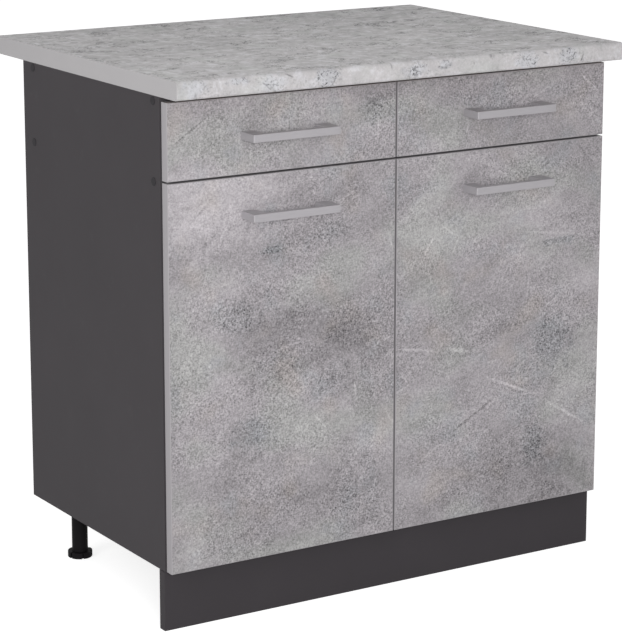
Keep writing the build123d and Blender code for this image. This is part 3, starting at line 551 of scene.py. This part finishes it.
# Marks on the front edge: the x and z of each one's middle, and its length and width. A cluster of
# specks then has how dark they are, and a crack its lean in degrees.
nose_clusters = [
    (-243, 829, 62, 44, 0.7), (-150, 830, 56, 44, 0.7), (-374, 830, 60, 40, 0.15), (-300, 836, 50, 16, 0.7),
    (8, 828, 60, 34, 0.6), (215, 828, 62, 44, 0.7), (297, 830, 56, 40, 0.7), (60, 834, 40, 20, 0.5),
]
nose_cracks = [
    (-137, 825, 18, 4, 62), (323, 825, 18, 4, 70), (-36, 838, 4, 14, 8), (-215, 838, 22, 4, -24),
    (250, 838, 20, 4, -20),
]

stone = Finish(bpy.data.materials.new("stone_print_laminate"))
clouds = stone.grain(150, 6, 0.78, warp=0.5)
veins = stone.grain(50, 5, 0.66, stone.stretched(2.6, 1, 1.5, turn=(0, 0, math.radians(28))), 1.1)
blotches = stone.grain(18, 4, 0.62, warp=0.6)
specks = stone.grain(3.6, 3, 0.70, warp=0.3)
clusters = stone.grain(42, 3, 0.6, stone.stretched(1.3, 1, 1)).fade(0.49, 0.58)
ragged = stone.grain(12, 3, 0.6).swing(1.6)
nose = stone.along("y").fade(front + nose_start, front + nose_full)
gathered = 0
bluish = 0
for x, z, length, width, amount in nose_clusters:
    shape = stone.mark(x, z, length, width, lean=0, ragged=ragged)
    gathered = shape * amount + gathered
    bluish = shape + bluish
cracks = 0
for x, z, length, width, lean in nose_cracks:
    cracks = stone.mark(x, z, length, width, lean, ragged * 0.3) + cracks
clusters = clusters * (1 - nose * 0.75) + gathered * nose
dark_specks = specks.fade(0.47, 0.36) * clusters
spots = stone.chips(34, stone.stretched(1, 1, 1, start=(0.02, 0.05, 0))) + ragged * 0.06
spots = spots.fade(0.20, 0.05) * blotches.fade(0.56, 0.44)
thin_veins = abs(veins - 0.52).fade(0.020, 0.004) * clusters
white_patches = blotches.fade(0.52, 0.62)

# Painted shade, standing in for how the light falls: the top is painted darker towards its back and
# its right, and the front edge darker towards its left.
painted_light_falloff = stone.along("x") * (nose * 0.00020 - 0.00008) - stone.along("y") * 0.00042
tone = (
    0.915
    + painted_light_falloff
    + clouds.swing(1.05) * (1 - nose * 0.35)
    + blotches.swing(1.16) * (1 - nose * 0.55)
    + specks.swing(0.50)
    - dark_specks * 0.72
    - cracks * nose * 0.40
    - thin_veins * 0.56
    - spots * 0.44
)
print_colour = stone.mixed(white_patches * 0.6, stone_grey, chalk_white)
print_colour = stone.mixed(stone.grain(70, 2).fade(0.5, 0.70) * 0.7, print_colour, lichen_grey)
print_colour = stone.mixed(bluish.lesser(1) * nose * 0.6, print_colour, pale_blue)
from_top = top - stone.along("z")
core = sawn_back(stone, high[1]) * from_top.fade(laminate_skin, laminate_skin + 0.2)
underside = stone.along("z").fade(underneath + backing_sheet, underneath + 0.1)
paper = stone.shaded(backing_brown, 0.9 + stone.grain(2.0, 3, 0.6) * 0.2)
surface = stone.mixed(core, stone.shaded(print_colour, tone), raw_chipboard(stone))
surface = stone.mixed(underside, surface, paper)
give(
    stone.shader(
        Base_Color=surface,
        Roughness=0.42 + specks * 0.12 + core * 0.3 + underside * 0.2,
        Normal=stone.relief(specks * 0.7 + blotches * 0.3, 0.03),
        Specular_IOR_Level=0.25,
    ),
    "worktop",
)

strip_grey = (0.410, 0.398, 0.405)
end_strip = Finish(bpy.data.materials.new("plain_grey_end_strip"))
pearl = end_strip.grain(0.8, 2, 0.6)
cloudy = end_strip.grain(60, 2)
give(
    end_strip.shader(
        Base_Color=end_strip.shaded(strip_grey, 0.92 + pearl * 0.10 + cloudy * 0.06),
        Roughness=0.44 + pearl * 0.10,
        Normal=end_strip.relief(pearl, 0.02),
        Specular_IOR_Level=0.25,
    ),
    "worktop_end_strips",
)


# Shelf pins and bumper pads: black plastic pins pushed into 5 mm holes under the shelf, and
# small milky rubber dots stuck on the carcass where the fronts close against it.
give(black_plastic, "shelf_pins")
rubber = Finish(bpy.data.materials.new("milky_rubber"))
bloom = rubber.grain(1.5, 3, 0.6)
give(
    rubber.shader(
        Base_Color=rubber.shaded((0.52, 0.52, 0.50), 0.90 + bloom * 0.18),
        Roughness=0.42 + bloom * 0.14,
        Subsurface_Weight=0.3,
        Subsurface_Scale=2 / metre,
        Normal=rubber.relief(bloom, 0.01),
    ),
    "bumper_pads",
)


# The room, sized in metres: a wide white floor and a white surround, which is plain soft light to
# the object itself. A large soft lamp stands in front on the left, a weaker one beside it, and
# the camera looks down on the cabinet's left corner.
floor_width = 40
floor_glow = 0.76
plain_light = 0.52


def in_view(finish):
    """1 where the camera looks, straight or by a mirror or glass, and 0 for the light on the object."""
    straight, mirrored, through = [
        finish.node("ShaderNodeLightPath", {}, {}, "Is " + kind + " Ray")
        for kind in ("Camera", "Glossy", "Transmission")
    ]
    return straight.greater(mirrored).greater(through)


bpy.ops.object.select_all(action="DESELECT")
bpy.ops.mesh.primitive_plane_add(size=floor_width, location=(0, 0, 0))
floor = bpy.context.object
floor.name = "floor"
bpy.ops.object.mode_set(mode="EDIT")
bpy.ops.mesh.subdivide(number_cuts=3)
bpy.ops.object.mode_set(mode="OBJECT")
white = Finish(bpy.data.materials.new("white_floor"))
white.shader(
    Base_Color=(0.60, 0.60, 0.60, 1),
    Roughness=0.9,
    Specular_IOR_Level=0.0,
    Emission_Color=white.shaded((1, 1, 1), in_view(white)),
    Emission_Strength=floor_glow,
)
floor.data.materials.append(white.owner)

surround = Finish(bpy.data.worlds.new("white_surround"))
bpy.context.scene.world = surround.owner
backdrop = surround.tree.nodes["Background"]
backdrop.inputs["Color"].default_value = (1, 1, 1, 1)
brightness = plain_light + in_view(surround) * (1 - plain_light)
surround.tree.links.new(brightness.socket, backdrop.inputs["Strength"])


def soft_lamp(name, place, aim, width, power):
    """A square soft lamp at a place, turned towards its aim."""
    lamp = bpy.data.lights.new(name, "AREA")
    lamp.shape = "SQUARE"
    lamp.size = width
    lamp.energy = power
    holder = bpy.data.objects.new(name, lamp)
    bpy.context.scene.collection.objects.link(holder)
    holder.location = place
    away = [b - a for a, b in zip(aim, place)]
    flat = math.hypot(away[0], away[1])
    holder.rotation_euler = (math.atan2(flat, away[2]), 0, math.atan2(away[0], -away[1]))


soft_lamp("front_lamp", (-1.75, -3.95, 1.30), aim=(-0.1, -0.2, 0.5), width=1.5, power=104)
soft_lamp("side_lamp", (-2.7, -0.8, 1.4), aim=(-0.4, 0, 0.6), width=1.2, power=20)

eye = bpy.data.cameras.new("eye")
eye.sensor_width = 36
eye.lens = 143.85
eye.shift_y = -0.0972
eye.clip_end = 100
stand = bpy.data.objects.new("eye", eye)
bpy.context.scene.collection.objects.link(stand)
stand.location = (-2.14512, -3.45770, 1.38035)
looks_down = math.radians(12.4099)
looks_right = math.radians(31.9011)
stand.rotation_euler = (math.radians(90) - looks_down, 0, -looks_right)
bpy.context.scene.camera = stand
bpy.context.scene.view_settings.view_transform = "Standard"
